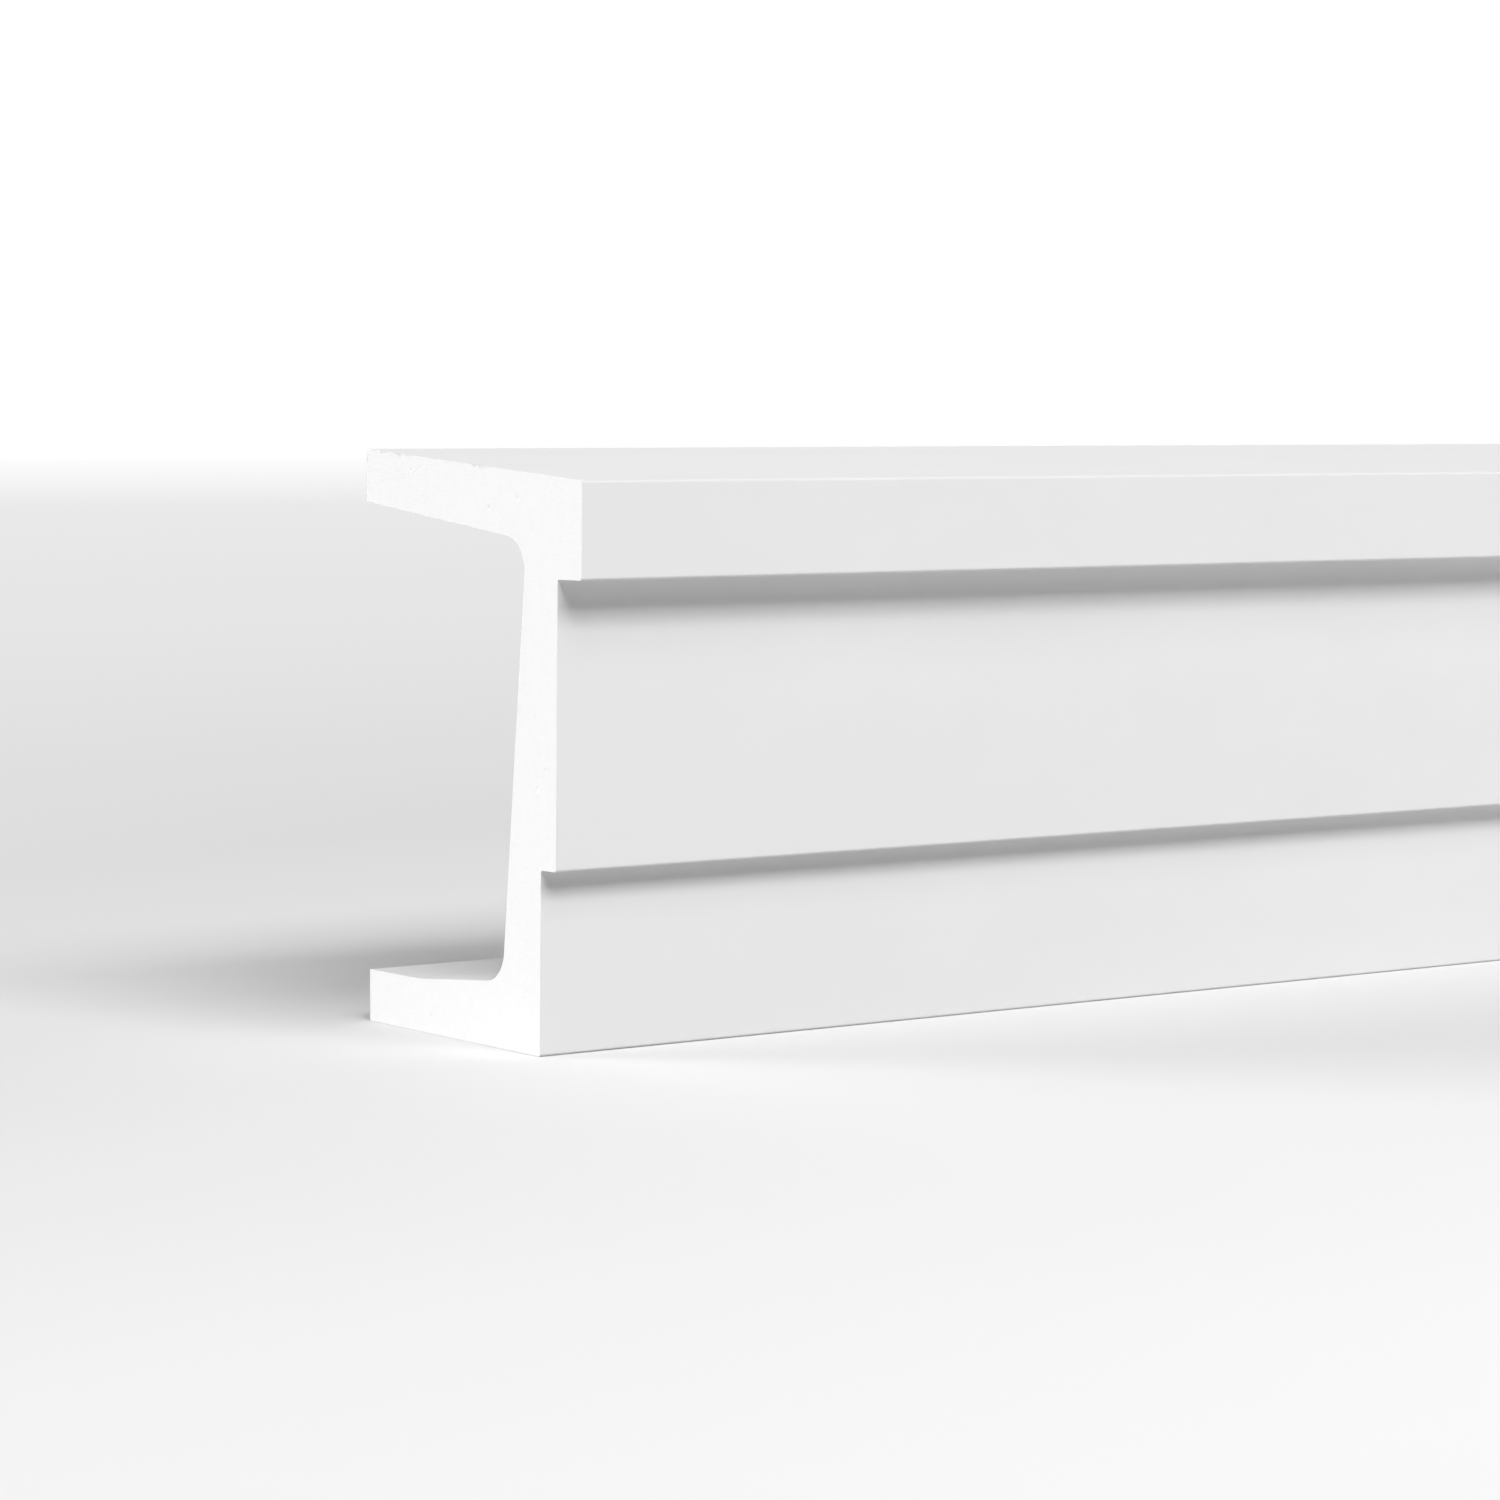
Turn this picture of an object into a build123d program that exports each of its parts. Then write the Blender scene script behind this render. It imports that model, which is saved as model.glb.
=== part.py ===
from build123d import *

import os
from math import radians, tan

# Architrave moulding, in millimetres: one straight length of hollow-backed stock.
# It stands on its underside as it does over an opening. X runs along the length,
# the wall is on the +Y side, the moulded face looks towards -Y, and Z is up.
# The origin is at the middle of the length and of the depth, on the underside.
# In the section, depth is counted from the wall forwards and height from the underside.

# Length of the stock
length = 2000.0

# Heights of the three faces at the front, from the underside up
lower_fascia_height = 62.0
middle_fascia_height = 96.0
band_height = 32.5

# Depth of the underside, and how far each face stands out from the one below it
underside_depth = 109.0
middle_fascia_step = 9.0
band_step = 14.0

# Slopes, in degrees: the three faces lean forward as they rise, the top sheds water
# forwards, and the underside of the upper flange falls a little faster than the top
face_lean = 1.0
top_fall = 4.0
upper_flange_draft = 2.4

# Flanges: thickness where they meet the wall, and the lower one's level land and rise
flange_edge = 18.3
lower_land = 33.0
lower_rise = 5.0

# Web: thickness behind the top of each fascia, measured level
web_behind_middle_fascia = 20.2
web_behind_lower_fascia = 19.7

# Radii
inner_radius = 11.5
land_radius = 120.0
arris_radius = 1.0
root_radius = 0.8
wall_edge_radius = 0.5


def slope(degrees):
    """Rise for each millimetre along, of a line at this angle."""
    return tan(radians(degrees))


# Front faces, as (depth, height) corners from the underside up
underside_front = (underside_depth, 0.0)
lower_fascia_top = (
    underside_depth + lower_fascia_height * slope(face_lean),
    lower_fascia_height,
)
middle_fascia_foot = (lower_fascia_top[0] + middle_fascia_step, lower_fascia_height)
middle_fascia_top = (
    middle_fascia_foot[0] + middle_fascia_height * slope(face_lean),
    middle_fascia_foot[1] + middle_fascia_height,
)
band_foot = (middle_fascia_top[0] + band_step, middle_fascia_top[1])
band_top = (band_foot[0] + band_height * slope(face_lean), band_foot[1] + band_height)

# Overall size of the section
depth = band_top[0]
height = band_top[1] + depth * slope(top_fall)

# Rear face of the web: a straight line, so its depth is web_foot + web_lean * height
web_top_depth = middle_fascia_top[0] - web_behind_middle_fascia
web_low_depth = lower_fascia_top[0] - web_behind_lower_fascia
web_lean = (web_top_depth - web_low_depth) / middle_fascia_height
web_foot = web_low_depth - web_lean * lower_fascia_height


def inner_corner(height_at_wall, flange_slope):
    """Where a flange's inner face, drawn on from the wall, meets the rear of the web."""
    corner_depth = (web_foot + web_lean * height_at_wall) / (1 - web_lean * flange_slope)
    return (corner_depth, height_at_wall + flange_slope * corner_depth)


# Wall edges of the flanges, and the hollow between them
wall_foot = (0.0, 0.0)
lower_flange_edge = (0.0, flange_edge)
lower_land_end = (lower_land, flange_edge)
lower_inner_corner = inner_corner(flange_edge - lower_land * slope(lower_rise), slope(lower_rise))
upper_inner_corner = inner_corner(height - flange_edge, -slope(top_fall + upper_flange_draft))
upper_flange_edge = (0.0, height - flange_edge)
wall_head = (0.0, height)

outline = [
    wall_foot,
    underside_front,
    lower_fascia_top,
    middle_fascia_foot,
    middle_fascia_top,
    band_foot,
    band_top,
    wall_head,
    upper_flange_edge,
    upper_inner_corner,
    lower_inner_corner,
    lower_land_end,
    lower_flange_edge,
]

# Every corner of the outline is rounded, each kind by its own radius
rounding = [
    (inner_radius, [upper_inner_corner, lower_inner_corner]),
    (land_radius, [lower_land_end]),
    (arris_radius, [underside_front, middle_fascia_foot, band_foot, band_top]),
    (root_radius, [lower_fascia_top, middle_fascia_top]),
    (wall_edge_radius, [wall_foot, lower_flange_edge, upper_flange_edge, wall_head]),
]


def place(corner):
    """A corner of the section in the part's Y and Z."""
    return (depth / 2 - corner[0], corner[1])


def section():
    """The moulding's section, drawn flat, with its corners rounded."""
    face = make_face(Polyline(*[place(corner) for corner in outline], close=True))
    for radius, corners in rounding:
        chosen = [face.vertices().sort_by_distance(place(corner))[0] for corner in corners]
        face = fillet(chosen, radius)
    return face


def architrave_moulding():
    """The section drawn out along X, with both ends cut square."""
    return extrude(Plane.YZ * section(), amount=length / 2, both=True)


os.makedirs("parts", exist_ok=True)
export_step(architrave_moulding(), "parts/architrave_moulding.step")
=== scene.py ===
import math
import random

import bmesh
import bpy
from mathutils import Euler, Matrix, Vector, noise
from mathutils.geometry import delaunay_2d_cdt


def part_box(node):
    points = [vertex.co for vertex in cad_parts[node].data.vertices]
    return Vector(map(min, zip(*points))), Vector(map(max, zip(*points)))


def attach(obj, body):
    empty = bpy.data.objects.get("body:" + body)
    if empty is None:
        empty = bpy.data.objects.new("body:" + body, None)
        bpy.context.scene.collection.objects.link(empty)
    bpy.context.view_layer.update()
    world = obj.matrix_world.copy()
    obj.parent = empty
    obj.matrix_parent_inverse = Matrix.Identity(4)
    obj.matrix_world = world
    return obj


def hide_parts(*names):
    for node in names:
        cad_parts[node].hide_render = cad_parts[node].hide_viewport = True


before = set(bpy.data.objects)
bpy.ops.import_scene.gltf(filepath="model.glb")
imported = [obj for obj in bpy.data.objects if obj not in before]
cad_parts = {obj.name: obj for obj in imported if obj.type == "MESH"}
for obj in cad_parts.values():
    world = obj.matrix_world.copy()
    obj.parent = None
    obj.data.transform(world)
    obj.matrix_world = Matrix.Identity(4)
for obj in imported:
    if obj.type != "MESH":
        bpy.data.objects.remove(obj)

MM = 0.001

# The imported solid's box gives the overall size and the wall plane
NODE = "architrave_moulding"
low_corner, high_corner = (Vector(corner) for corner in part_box(NODE))
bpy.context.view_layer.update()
length = high_corner.x - low_corner.x
near_end = low_corner.x
far_end = near_end + length
wall = high_corner.y

# Section of the moulding, the same sizes as the solid: depth from the wall, height from the underside
lower_fascia_height = 62.0 * MM
middle_fascia_height = 96.0 * MM
band_height = 32.5 * MM
underside_depth = 109.0 * MM
middle_fascia_step = 9.0 * MM
band_step = 14.0 * MM
face_lean = math.tan(math.radians(1.0))
top_fall = math.tan(math.radians(4.0))
upper_inner_fall = math.tan(math.radians(4.0 + 2.4))
lower_rise = math.tan(math.radians(5.0))
flange_edge = 18.3 * MM
lower_land = 33.0 * MM
web_behind_middle_fascia = 20.2 * MM
web_behind_lower_fascia = 19.7 * MM
inner_radius = 11.5 * MM
land_radius = 120.0 * MM
arris_radius = 1.0 * MM
root_radius = 0.8 * MM
wall_edge_radius = 0.5 * MM

# Mesh of the skin: spacing of the rings along the length and of the points round the section, the gap
# from each round to its nearest point on the straight, and the steps round a corner
ring_spacing = 12.0 * MM
run_spacing = 8.0 * MM
support_gap = 0.4 * MM
arc_step = math.radians(10.0)
least_arc_steps = 2

# Waviness of the skin, which only goes inwards: slow waves, and a finer ripple that is taken from another
# part of the noise
wave_depth = 0.10 * MM
wave_length = 140.0 * MM
ripple_depth = 0.03 * MM
ripple_length = 35.0 * MM
ripple_offset = Vector((7.3, 1.9, 4.1))

# Sawn ends: the worn edge and the gap to the next ring, the saw's grain, and the width over which the
# celled core begins inside the rim
sawn_bevel = 0.08 * MM
sawn_gap = 0.15 * MM
saw_depth = 0.04 * MM
saw_grain = 2.5 * MM
rim_width = 1.6 * MM
near_seed = 3
far_seed = 8

# Mesh of the sawn ends: spacing of the points, how far each moves off its row as a share of that, and the
# distance within which two would be one
cap_spacing = 1.3 * MM
cap_jitter = 0.2
merge_distance = 1e-7

# Pits in each sawn end: how many radii they stay from the rim, and their rings of points, each as a share
# of the radius and a count
pit_count = 6
pit_depth = 0.18 * MM
pit_sizes = (0.2 * MM, 0.4 * MM)
pit_clearance = 3
pit_rings = ((0.55, 6), (1.0, 10))

# Places of the two materials on the mesh
SKIN = 0
FOAM = 1

# Specular level of the matte primer and foam, which is 0.5 on a usual surface
matte_specular = 0.2

# Part of a noise's range that a ramp of greys covers
ramp_range = (0.3, 0.7)

# Primer. A noise is its turns per metre along X, Y and Z and its detail; a bump is its strength and depth
skin_greys = (0.806, 0.822)
skin_roughness = (0.8, 0.88)
# A few small specks are a darker grey and raised by a bump
speck_grey = 0.77
mottling_noise = ((14, 30, 30), 4.0)
streak_noise = ((5, 420, 420), 2.0)
grain_noise = ((1300, 1300, 1300), 2.0)
streak_bump = (0.2, 0.05 * MM)
grain_bump = (0.35, 0.06 * MM)
speck_bump = (0.6, 0.1 * MM)

# Sawn foam. Its pores are darkened with painted shade and sunk by a bump
foam_greys = (0.868, 0.886)
foam_roughness = 0.95
pore_shade_grey = 0.8
cloud_noise = ((260, 260, 260), 4.0)
cells_per_metre = 1500
cell_bump = (0.5, 0.1 * MM)
pore_bump = (0.7, 0.15 * MM)

# Spots, at most one to a cell: cells per metre, the least random value of a cell that has one, and the
# distances from its middle, in cells, at which it starts to fade and is gone
speck_spots = (70, 0.62, 0.018, 0.034)
pore_spots = (330, 0.55, 0.05, 0.13)

# Sockets of a Mix node that mixes colours
MIX_SHARE = 0
MIX_FIRST = 6
MIX_SECOND = 7
MIX_RESULT = 2

# Camera: heading is the angle from +X of the level view direction
camera_place = Vector((-1.7828, -1.2494, 0.2097))
camera_heading = math.radians(54.293)
camera_pitch = math.radians(-4.294)
camera_lens = 105.34
camera_sensor = 36.0
camera_clip = (0.05, 100.0)

# Floor: half its side, and how far it lies below the underside
floor_half = 20.0
floor_drop = 0.02 * MM

# Floor seen by the camera: its grey in front of the object and behind it, at these places in Y
floor_greys = ((-0.6, 0.92), (0.1, 0.78))

# Beyond this reach in X and Y the lit floor gives way to an even pale tone, which turns white far off
lit_reach = (1.4, 0.75)
lit_falloff = 1.15
pale_tone = 0.85
fade_start = 9.0
fade_end = 22.0

# Floor as it sends light back onto the object: its greys at the two ends of this stretch in X
bounce_stretch = (-1.2, -0.4)
bounce_greys = (0.49, 0.74)

# The world is only seen: the lamps and the floor light the object
world_light = 0.0

# Soft key in front and above, as two boxes one over the other: a narrow strong one and a broad weak
# one, each with the elevation of its middle, its height and its strength
key_side = 0.1
key_distance = 12.0
key_width = 9.6
key_boxes = (("key", 43.0, 3.8, 2.34), ("high_key", 56.0, 5.1, 1.2))
key_target = Vector((-0.8, -0.067, 0.12))

# Suns behind the object, for the sawn end and the top: the direction that the light travels, its
# strength and its width in degrees
suns = (("left", (0.75, -0.65, -0.12), 3.28, 30), ("back", (0.45, -0.65, -0.6), 0.6, 40))


def section():
    """Corners of the section as ((depth, height), radius), anticlockwise from the wall foot."""
    lower_top = underside_depth + lower_fascia_height * face_lean
    middle_foot = lower_top + middle_fascia_step
    middle_top = middle_foot + middle_fascia_height * face_lean
    middle_top_height = lower_fascia_height + middle_fascia_height
    band_foot = middle_top + band_step
    band_top = band_foot + band_height * face_lean
    band_top_height = middle_top_height + band_height
    height = band_top_height + band_top * top_fall

    web_top = middle_top - web_behind_middle_fascia
    web_low = lower_top - web_behind_lower_fascia
    web_lean = (web_top - web_low) / middle_fascia_height
    web_foot = web_low - web_lean * lower_fascia_height

    def inner_corner(height_at_wall, slope):
        depth = (web_foot + web_lean * height_at_wall) / (1 - web_lean * slope)
        return (depth, height_at_wall + slope * depth)

    return [
        ((0, 0), wall_edge_radius),
        ((underside_depth, 0), arris_radius),
        ((lower_top, lower_fascia_height), root_radius),
        ((middle_foot, lower_fascia_height), arris_radius),
        ((middle_top, middle_top_height), root_radius),
        ((band_foot, middle_top_height), arris_radius),
        ((band_top, band_top_height), arris_radius),
        ((0, height), wall_edge_radius),
        ((0, height - flange_edge), wall_edge_radius),
        (inner_corner(height - flange_edge, -upper_inner_fall), inner_radius),
        (inner_corner(flange_edge - lower_land * lower_rise, lower_rise), inner_radius),
        ((lower_land, flange_edge), land_radius),
        ((0, flange_edge), wall_edge_radius),
    ]


def turned(vector, angle):
    """A flat vector turned anticlockwise."""
    cosine, sine = math.cos(angle), math.sin(angle)
    return Vector((vector.x * cosine - vector.y * sine, vector.x * sine + vector.y * cosine))


def outward(direction):
    """The outward normal of an anticlockwise outline that runs this way."""
    return Vector((direction.y, -direction.x))


def arc_points(before, corner, after, radius):
    """Points and outward normals round one corner."""
    into = (corner - before).normalized()
    leaving = (after - corner).normalized()
    turn = math.atan2(into.x * leaving.y - into.y * leaving.x, into.dot(leaving))
    side = math.copysign(1, turn)
    start = corner - into * radius * math.tan(abs(turn) / 2)
    centre = start - outward(into) * radius * side
    steps = max(least_arc_steps, math.ceil(abs(turn) / arc_step))
    points = []
    for step in range(steps + 1):
        angle = turn * step / steps
        points.append((centre + turned(start - centre, angle), outward(turned(into, angle))))
    return points


def run_points(start, end):
    """Points and normals inside one straight run, with a close one at each end."""
    along = end - start
    size = along.length
    if size < 4 * support_gap:
        return []
    direction = along / size
    middle = size - 2 * support_gap
    steps = max(1, math.ceil(middle / run_spacing))
    places = [support_gap + middle * step / steps for step in range(steps + 1)]
    return [(start + direction * place, outward(direction)) for place in places]


def outline():
    """The whole section as closely spaced points with their outward normals."""
    corners = [(Vector(place), radius) for place, radius in section()]
    count = len(corners)
    arcs = []
    for i, (corner, radius) in enumerate(corners):
        arcs.append(arc_points(corners[i - 1][0], corner, corners[(i + 1) % count][0], radius))
    points = []
    for i, arc in enumerate(arcs):
        points += arc
        points += run_points(arc[-1][0], arcs[(i + 1) % count][0][0])
    return points


def waviness(place):
    """How far the skin lies inside the true surface here: slow waves and a finer ripple."""
    slow = 0.5 + 0.5 * noise.noise(place / wave_length)
    fine = 0.5 + 0.5 * noise.noise(place / ripple_length + ripple_offset)
    return wave_depth * slow + ripple_depth * fine


def skin_points(section_points, x):
    """The outline of the skin at one place along the length."""
    found = []
    for point, normal in section_points:
        place = Vector((x, wall - point.x, point.y))
        found.append(point - normal * waviness(place))
    return found


def ring_places():
    """Positions along the length, closer at the sawn ends."""
    start = near_end + sawn_bevel
    end = far_end - sawn_bevel
    inner = length - 2 * sawn_bevel - 2 * sawn_gap
    steps = math.ceil(inner / ring_spacing)
    places = [start + sawn_gap + inner * step / steps for step in range(steps + 1)]
    return [start] + places + [end]


def inside(place, points):
    """Whether a place is within a closed outline."""
    hit = False
    for a, b in zip(points, points[1:] + points[:1]):
        if (a.y > place.y) != (b.y > place.y):
            if place.x < a.x + (place.y - a.y) * (b.x - a.x) / (b.y - a.y):
                hit = not hit
    return hit


def clearance(place, points):
    """Distance from a place to the nearest point of an outline."""
    return min((place - p).length for p in points)


def extent(points):
    """Lowest and highest corner of the box round an outline."""
    lowest = Vector((min(p.x for p in points), min(p.y for p in points)))
    highest = Vector((max(p.x for p in points), max(p.y for p in points)))
    return lowest, highest


def pits(points, seed):
    """Small blow holes in a sawn end, as (centre, radius)."""
    draw = random.Random(seed)
    lowest, highest = extent(points)
    found = []
    while len(found) < pit_count:
        centre = Vector((draw.uniform(lowest.x, highest.x), draw.uniform(lowest.y, highest.y)))
        radius = draw.uniform(*pit_sizes)
        if inside(centre, points) and clearance(centre, points) > pit_clearance * radius:
            found.append((centre, radius))
    return found


def fill_points(points, holes, seed):
    """Points inside a sawn end: rings in each pit, and uneven rows over the rest."""
    draw = random.Random(seed)
    found = []
    for centre, radius in holes:
        found.append(centre)
        for share, count in pit_rings:
            for k in range(count):
                found.append(centre + turned(Vector((radius * share, 0)), math.tau * k / count))
    lowest, highest = extent(points)
    row = 0
    y = lowest.y
    while y < highest.y:
        x = lowest.x + (row % 2) * cap_spacing / 2
        while x < highest.x:
            shift = Vector((draw.uniform(-cap_jitter, cap_jitter), draw.uniform(-cap_jitter, cap_jitter)))
            place = Vector((x, y)) + shift * cap_spacing
            clear_of_pits = all((place - c).length > r + cap_spacing / 2 for c, r in holes)
            if clear_of_pits and inside(place, points) and clearance(place, points) > cap_spacing / 2:
                found.append(place)
            x += cap_spacing
        y += cap_spacing * math.sqrt(3) / 2
        row += 1
    return found


def cap(points, seed):
    """Triangles that fill a sawn end, with each point's depth below the cut and share of core."""
    holes = pits(points, seed)
    rim = len(points)
    edges = [(i, (i + 1) % rim) for i in range(rim)]
    # Output type 1 keeps the triangles inside the outline
    found = delaunay_2d_cdt(points + fill_points(points, holes, seed), edges, [], 1, merge_distance)
    places, triangles, sources = found[0], found[2], found[3]
    depths = []
    shares = []
    for place in places:
        shares.append(min(1.0, clearance(place, points) / rim_width))
        grain = noise.noise(Vector((place.x, place.y, seed)) / saw_grain)
        depth = saw_depth * (0.5 + 0.5 * grain)
        for centre, radius in holes:
            reach = (place - centre).length / radius
            if reach < 1:
                depth += pit_depth * (1 - reach**2)
        depths.append(depth)
    return places, triangles, sources, depths, shares


def add_ring(build, x, points):
    """Vertices along an outline at one place along the length."""
    return [build.verts.new((x, wall - point.x, point.y)) for point in points]


def fill_end(build, core, ring, points, x, inwards, seed):
    """The sawn face inside an end ring, with a sharp edge round it."""
    rim = len(ring)
    places, triangles, sources, depths, shares = cap(points, seed)
    verts = []
    for place, source, depth, share in zip(places, sources, depths, shares):
        on_rim = [s for s in source if s < rim]
        if on_rim:
            verts.append(ring[on_rim[0]])
        else:
            vert = build.verts.new((x + inwards * depth, wall - place.x, place.y))
            vert[core] = share
            verts.append(vert)
    for triangle in triangles:
        face = build.faces.new([verts[i] for i in triangle])
        face.material_index = FOAM
        face.smooth = True
    for i in range(rim):
        edge = build.edges.get((ring[i], ring[(i + 1) % rim]))
        edge.smooth = False


def moulding_mesh(name):
    """The moulding as one closed mesh: skin rings along the length and a filled sawn face at each end."""
    section_points = outline()
    rim = len(section_points)
    inset_points = [point - normal * sawn_bevel for point, normal in section_points]
    build = bmesh.new()
    core = build.verts.layers.float.new("core")

    rings = [add_ring(build, near_end, inset_points)]
    for x in ring_places():
        rings.append(add_ring(build, x, skin_points(section_points, x)))
    rings.append(add_ring(build, far_end, inset_points))
    for one, two in zip(rings, rings[1:]):
        for i in range(rim):
            k = (i + 1) % rim
            face = build.faces.new((one[i], one[k], two[k], two[i]))
            face.smooth = True
            face.material_index = FOAM if one is rings[0] or two is rings[-1] else SKIN
    fill_end(build, core, rings[0], inset_points, near_end, 1, near_seed)
    fill_end(build, core, rings[-1], inset_points, far_end, -1, far_seed)

    bmesh.ops.recalc_face_normals(build, faces=build.faces)
    mesh = bpy.data.meshes.new(name)
    build.to_mesh(mesh)
    build.free()
    return mesh


class Nodes:
    """A short way to write the nodes of a material or a world."""

    def __init__(self, owner):
        self.owner = owner
        self.owner.use_nodes = True
        self.tree = self.owner.node_tree
        self.tree.nodes.clear()

    def add(self, kind, settings=None, **inputs):
        """A new node, with its settings, and with each input linked or set to a value."""
        node = self.tree.nodes.new(kind)
        for key, value in (settings or {}).items():
            setattr(node, key, value)
        for key, value in inputs.items():
            socket = node.inputs[key.replace("_", " ")]
            if isinstance(value, bpy.types.NodeSocket):
                self.link(value, socket)
            else:
                socket.default_value = value
        return node

    def link(self, source, target):
        """A link from an output to an input."""
        self.tree.links.new(source, target)


def scaled(nodes, scale):
    """Object coordinates stretched by a scale for each axis, in turns per metre."""
    coordinates = nodes.add("ShaderNodeTexCoord")
    mapping = nodes.add("ShaderNodeMapping", Scale=scale)
    nodes.link(coordinates.outputs["Object"], mapping.inputs["Vector"])
    return mapping.outputs["Vector"]


def distance_of(nodes, scale):
    """Distance from the middle of the object, with each axis stretched by a scale."""
    measure = nodes.add("ShaderNodeVectorMath", {"operation": "LENGTH"})
    nodes.link(scaled(nodes, scale), measure.inputs[0])
    return measure.outputs["Value"]


def noise_value(nodes, scale, detail):
    """Cloudy noise over the object."""
    texture = nodes.add("ShaderNodeTexNoise", Vector=scaled(nodes, scale), Scale=1.0, Detail=detail)
    return texture.outputs["Fac"]


def cells_of(nodes, per_metre):
    """Cells over the object, each with a random colour and the distance from its middle."""
    scale = (per_metre, per_metre, per_metre)
    return nodes.add("ShaderNodeTexVoronoi", Vector=scaled(nodes, scale), Scale=1.0).outputs


def grey_ramp(nodes, source, dark, light):
    """A ramp between two greys over part of a texture's range."""
    ramp = nodes.add("ShaderNodeValToRGB")
    for element, position, grey in zip(ramp.color_ramp.elements, ramp_range, (dark, light)):
        element.position = position
        element.color = (grey, grey, grey, 1)
    nodes.link(source, ramp.inputs["Fac"])
    return ramp.outputs["Color"]


def remap(nodes, source, low, high, new_low, new_high):
    """A value moved from one range to another, and held there."""
    ranged = nodes.add("ShaderNodeMapRange", From_Min=low, From_Max=high, To_Min=new_low, To_Max=new_high)
    nodes.link(source, ranged.inputs["Value"])
    return ranged.outputs["Result"]


def math_of(nodes, operation, first, second):
    """One sum on two values, of which the second may be a plain number."""
    sum_node = nodes.add("ShaderNodeMath", {"operation": operation})
    nodes.link(first, sum_node.inputs[0])
    if isinstance(second, float):
        sum_node.inputs[1].default_value = second
    else:
        nodes.link(second, sum_node.inputs[1])
    return sum_node.outputs[0]


def spots(nodes, per_metre, least, fade_from, fade_to):
    """Round spots in some of the cells: one in their middle, and nothing between them."""
    cells = cells_of(nodes, per_metre)
    chosen = math_of(nodes, "GREATER_THAN", cells["Color"], least)
    spot = remap(nodes, cells["Distance"], fade_from, fade_to, 1.0, 0.0)
    return math_of(nodes, "MULTIPLY", spot, chosen)


def blended(nodes, share, first, grey):
    """A colour moved towards a fixed grey by a share."""
    mix = nodes.add("ShaderNodeMix", {"data_type": "RGBA"})
    nodes.link(share, mix.inputs[MIX_SHARE])
    nodes.link(first, mix.inputs[MIX_FIRST])
    mix.inputs[MIX_SECOND].default_value = (grey, grey, grey, 1)
    return mix.outputs[MIX_RESULT]


def bumped(nodes, height, strength, distance, normal=None):
    """A normal roughened by a height, over an earlier one."""
    bump = nodes.add("ShaderNodeBump", Distance=distance, Strength=strength)
    nodes.link(height, bump.inputs["Height"])
    if normal:
        nodes.link(normal, bump.inputs["Normal"])
    return bump.outputs["Normal"]


def finished(nodes, colour, roughness, normal):
    """The material with its shader and output."""
    shader = nodes.add("ShaderNodeBsdfPrincipled", Base_Color=colour, Roughness=roughness, Normal=normal)
    shader.inputs["Specular IOR Level"].default_value = matte_specular
    output = nodes.add("ShaderNodeOutputMaterial")
    nodes.link(shader.outputs["BSDF"], output.inputs["Surface"])
    return nodes.owner


def primed_skin():
    """Matte white primer: faint streaks along the length, soft mottling, fine grain and a few darker
    specks raised by a bump.
    """
    nodes = Nodes(bpy.data.materials.new("primed_skin"))
    mottling = noise_value(nodes, *mottling_noise)
    streaks = noise_value(nodes, *streak_noise)
    grain = noise_value(nodes, *grain_noise)
    dark_specks = spots(nodes, *speck_spots)
    colour = blended(nodes, dark_specks, grey_ramp(nodes, mottling, *skin_greys), speck_grey)
    normal = bumped(nodes, streaks, *streak_bump)
    normal = bumped(nodes, grain, *grain_bump, normal)
    normal = bumped(nodes, dark_specks, *speck_bump, normal)
    return finished(nodes, colour, remap(nodes, mottling, 0.0, 1.0, *skin_roughness), normal)


def sawn_foam():
    """The foam where it was sawn: whiter than the primer, finely celled, with painted shade darkening its
    pores, and smooth near the rim.
    """
    nodes = Nodes(bpy.data.materials.new("sawn_foam"))
    core = nodes.add("ShaderNodeAttribute", {"attribute_name": "core"}).outputs["Fac"]
    clouds = noise_value(nodes, *cloud_noise)
    cells = math_of(nodes, "MULTIPLY", cells_of(nodes, cells_per_metre)["Distance"], core)
    pores = math_of(nodes, "MULTIPLY", spots(nodes, *pore_spots), core)
    # Each pore is darkened with painted shade, which stands in for the shade inside the open cell
    colour = blended(nodes, pores, grey_ramp(nodes, clouds, *foam_greys), pore_shade_grey)
    normal = bumped(nodes, cells, *cell_bump)
    normal = bumped(nodes, math_of(nodes, "MULTIPLY", pores, -1.0), *pore_bump, normal)
    return finished(nodes, colour, foam_roughness, normal)


def background_rays(nodes):
    """One for the rays that show the background: the camera's, and those of gloss and glass."""
    path = nodes.add("ShaderNodeLightPath").outputs
    glossy_too = math_of(nodes, "MAXIMUM", path["Is Camera Ray"], path["Is Glossy Ray"])
    return math_of(nodes, "MAXIMUM", glossy_too, path["Is Transmission Ray"])


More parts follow.
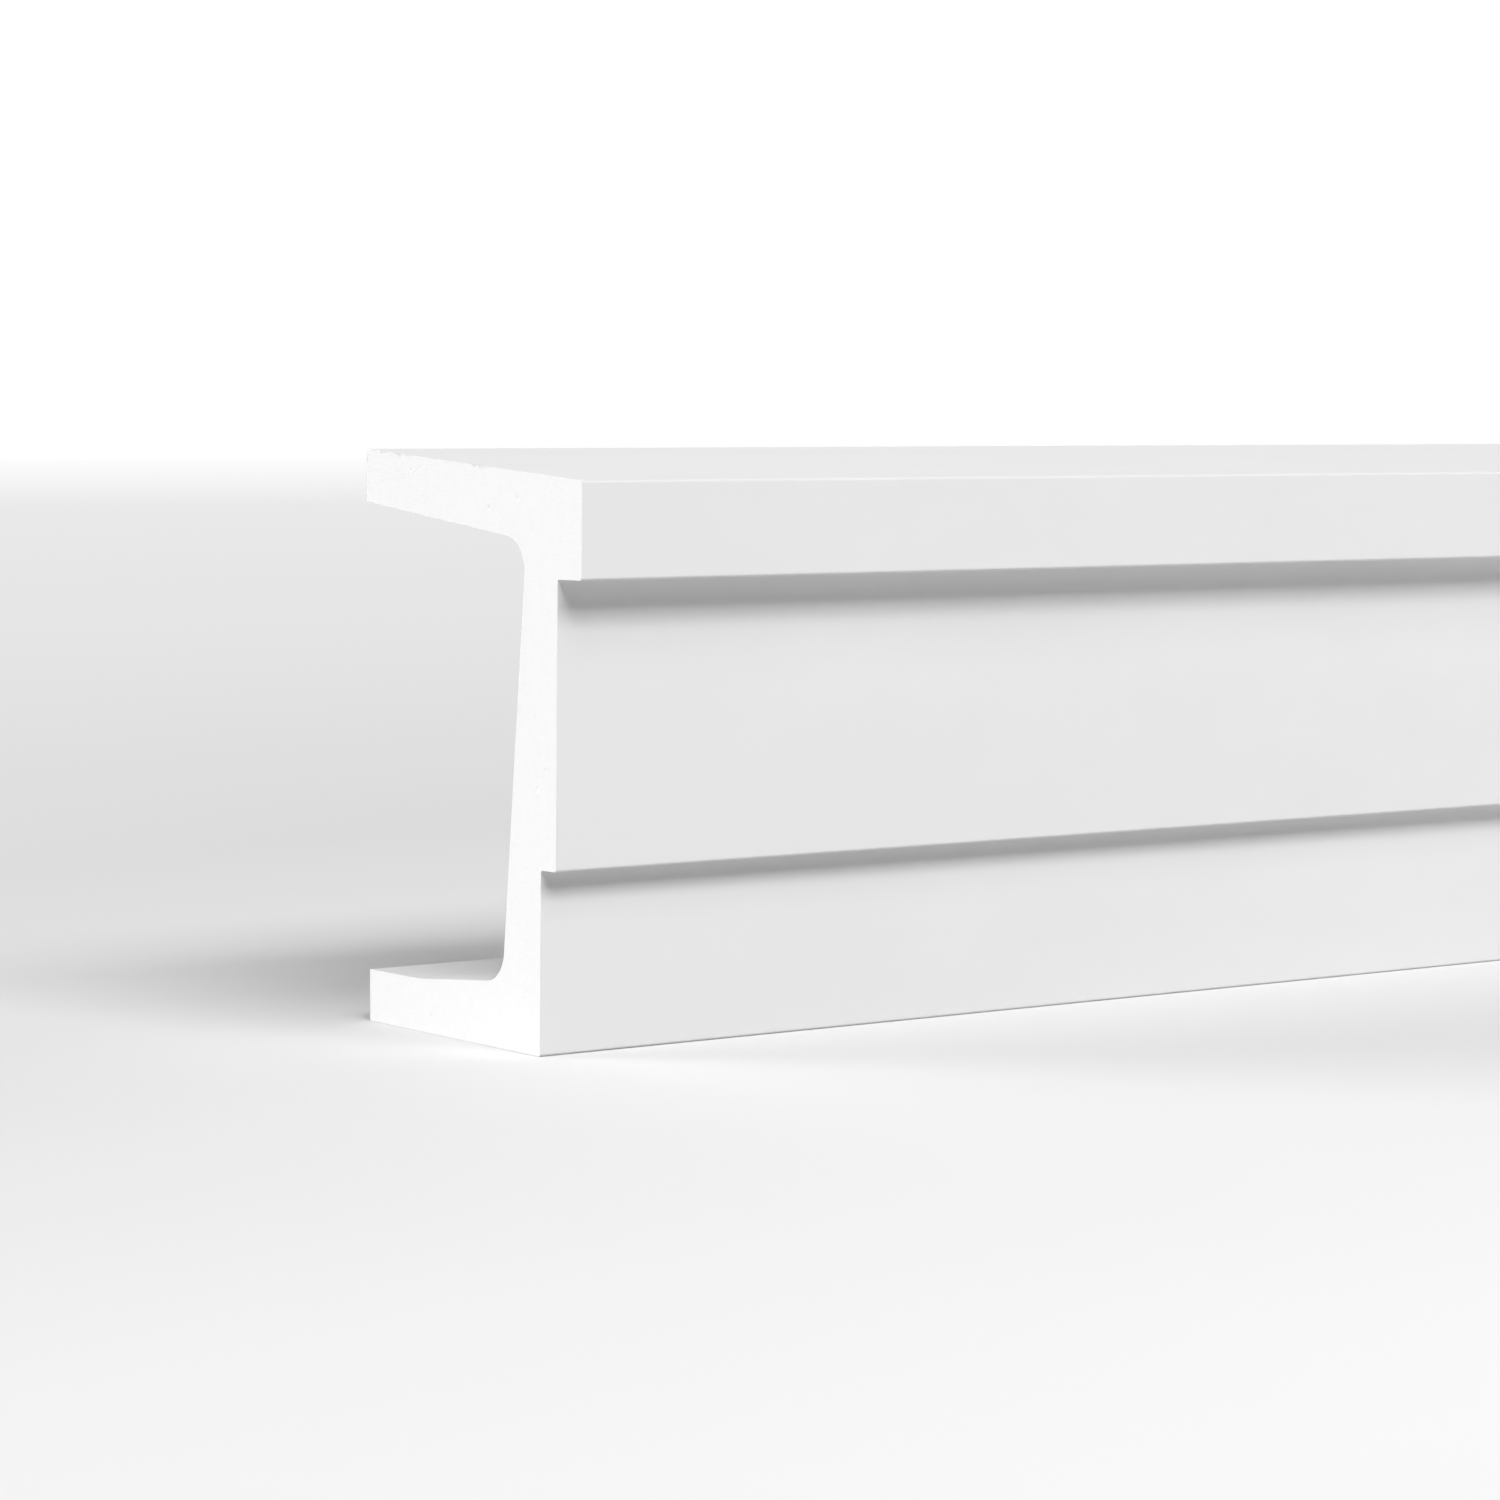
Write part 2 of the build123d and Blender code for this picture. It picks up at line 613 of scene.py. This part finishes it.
def floor_material():
    """Plain pale floor that keeps the shadow near the object, and is even and then white far from it."""
    nodes = Nodes(bpy.data.materials.new("studio_floor"))
    axes = nodes.add("ShaderNodeSeparateXYZ", Vector=scaled(nodes, (1, 1, 1)))
    along, across = axes.outputs["X"], axes.outputs["Y"]
    (front, front_grey), (behind, behind_grey) = floor_greys
    lit = nodes.add("ShaderNodeBsdfDiffuse")
    nodes.link(remap(nodes, across, front, behind, front_grey, behind_grey), lit.inputs["Color"])
    nearness = math_of(nodes, "POWER", distance_of(nodes, (1, 1, 1)), -1.0)
    pale = nodes.add("ShaderNodeEmission", Color=(1, 1, 1, 1))
    tone = remap(nodes, nearness, 1 / fade_start, 1 / fade_end, pale_tone, 1.0)
    nodes.link(tone, pale.inputs["Strength"])
    reach = distance_of(nodes, (1 / lit_reach[0], 1 / lit_reach[1], 1))
    share = math_of(nodes, "MINIMUM", math_of(nodes, "POWER", reach, -lit_falloff), 1.0)
    faded = nodes.add("ShaderNodeMixShader", Fac=share)
    nodes.link(pale.outputs["Emission"], faded.inputs[1])
    nodes.link(lit.outputs["BSDF"], faded.inputs[2])

    bounce = nodes.add("ShaderNodeBsdfDiffuse")
    nodes.link(remap(nodes, along, *bounce_stretch, *bounce_greys), bounce.inputs["Color"])
    seen = nodes.add("ShaderNodeMixShader", Fac=background_rays(nodes))
    nodes.link(bounce.outputs["BSDF"], seen.inputs[1])
    nodes.link(faded.outputs["Shader"], seen.inputs[2])
    output = nodes.add("ShaderNodeOutputMaterial")
    nodes.link(seen.outputs["Shader"], output.inputs["Surface"])
    return nodes.owner


def studio_world():
    """White where it is seen, and dark as a light."""
    nodes = Nodes(bpy.data.worlds.new("studio"))
    light = nodes.add("ShaderNodeBackground", Color=(1, 1, 1, 1), Strength=world_light)
    white = nodes.add("ShaderNodeBackground", Color=(1, 1, 1, 1), Strength=1.0)
    seen = nodes.add("ShaderNodeMixShader", Fac=background_rays(nodes))
    nodes.link(light.outputs["Background"], seen.inputs[1])
    nodes.link(white.outputs["Background"], seen.inputs[2])
    output = nodes.add("ShaderNodeOutputWorld")
    nodes.link(seen.outputs["Shader"], output.inputs["Surface"])
    return nodes.owner


def add_object(name, data):
    """An object of this data in the scene."""
    thing = bpy.data.objects.new(name, data)
    bpy.context.scene.collection.objects.link(thing)
    return thing


def add_sun(name, travel, strength, softness):
    """A soft sun lamp whose light travels along a direction."""
    lamp = bpy.data.lights.new(name, "SUN")
    lamp.energy = strength
    lamp.angle = math.radians(softness)
    thing = add_object(name, lamp)
    thing.rotation_euler = Vector(travel).to_track_quat("-Z", "Y").to_euler()


def add_softbox(name, elevation, height, strength):
    """One box of the key: a rectangular lamp that gives about this strength at its target."""
    lamp = bpy.data.lights.new(name, "AREA")
    lamp.shape = "RECTANGLE"
    lamp.size = key_width
    lamp.size_y = height
    lamp.energy = strength * math.pi * key_distance**2
    thing = add_object(name, lamp)
    direction = Vector((key_side, 1, -math.tan(math.radians(elevation)))).normalized()
    thing.location = key_target - direction * key_distance
    thing.rotation_euler = direction.to_track_quat("-Z", "Y").to_euler()
    thing.visible_camera = False


def make_camera():
    """The camera that stands where the photograph was taken from."""
    data = bpy.data.cameras.new("camera")
    data.lens = camera_lens
    data.sensor_width = camera_sensor
    data.clip_start, data.clip_end = camera_clip
    camera = add_object("camera", data)
    camera.location = camera_place
    camera.rotation_euler = Euler((math.pi / 2 + camera_pitch, 0, camera_heading - math.pi / 2))
    bpy.context.scene.camera = camera


def make_studio():
    """Floor, lamps and world."""
    mesh = bpy.data.meshes.new("floor")
    corners = [(x * floor_half, y * floor_half, 0) for x, y in ((-1, -1), (1, -1), (1, 1), (-1, 1))]
    mesh.from_pydata(corners, [], [(0, 1, 2, 3)])
    mesh.materials.append(floor_material())
    floor = add_object("floor", mesh)
    floor.location.z = low_corner.z - floor_drop

    for box in key_boxes:
        add_softbox(*box)
    for sun in suns:
        add_sun(*sun)

    bpy.context.scene.world = studio_world()
    bpy.context.scene.view_settings.view_transform = "Standard"


def make_moulding():
    """The dressed moulding, in place of the plain solid."""
    mesh = moulding_mesh("primed_moulding")
    # In the order of SKIN and FOAM
    mesh.materials.append(primed_skin())
    mesh.materials.append(sawn_foam())
    piece = add_object("primed_moulding", mesh)
    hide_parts(NODE)
    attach(piece, "root")


make_camera()
make_studio()
make_moulding()
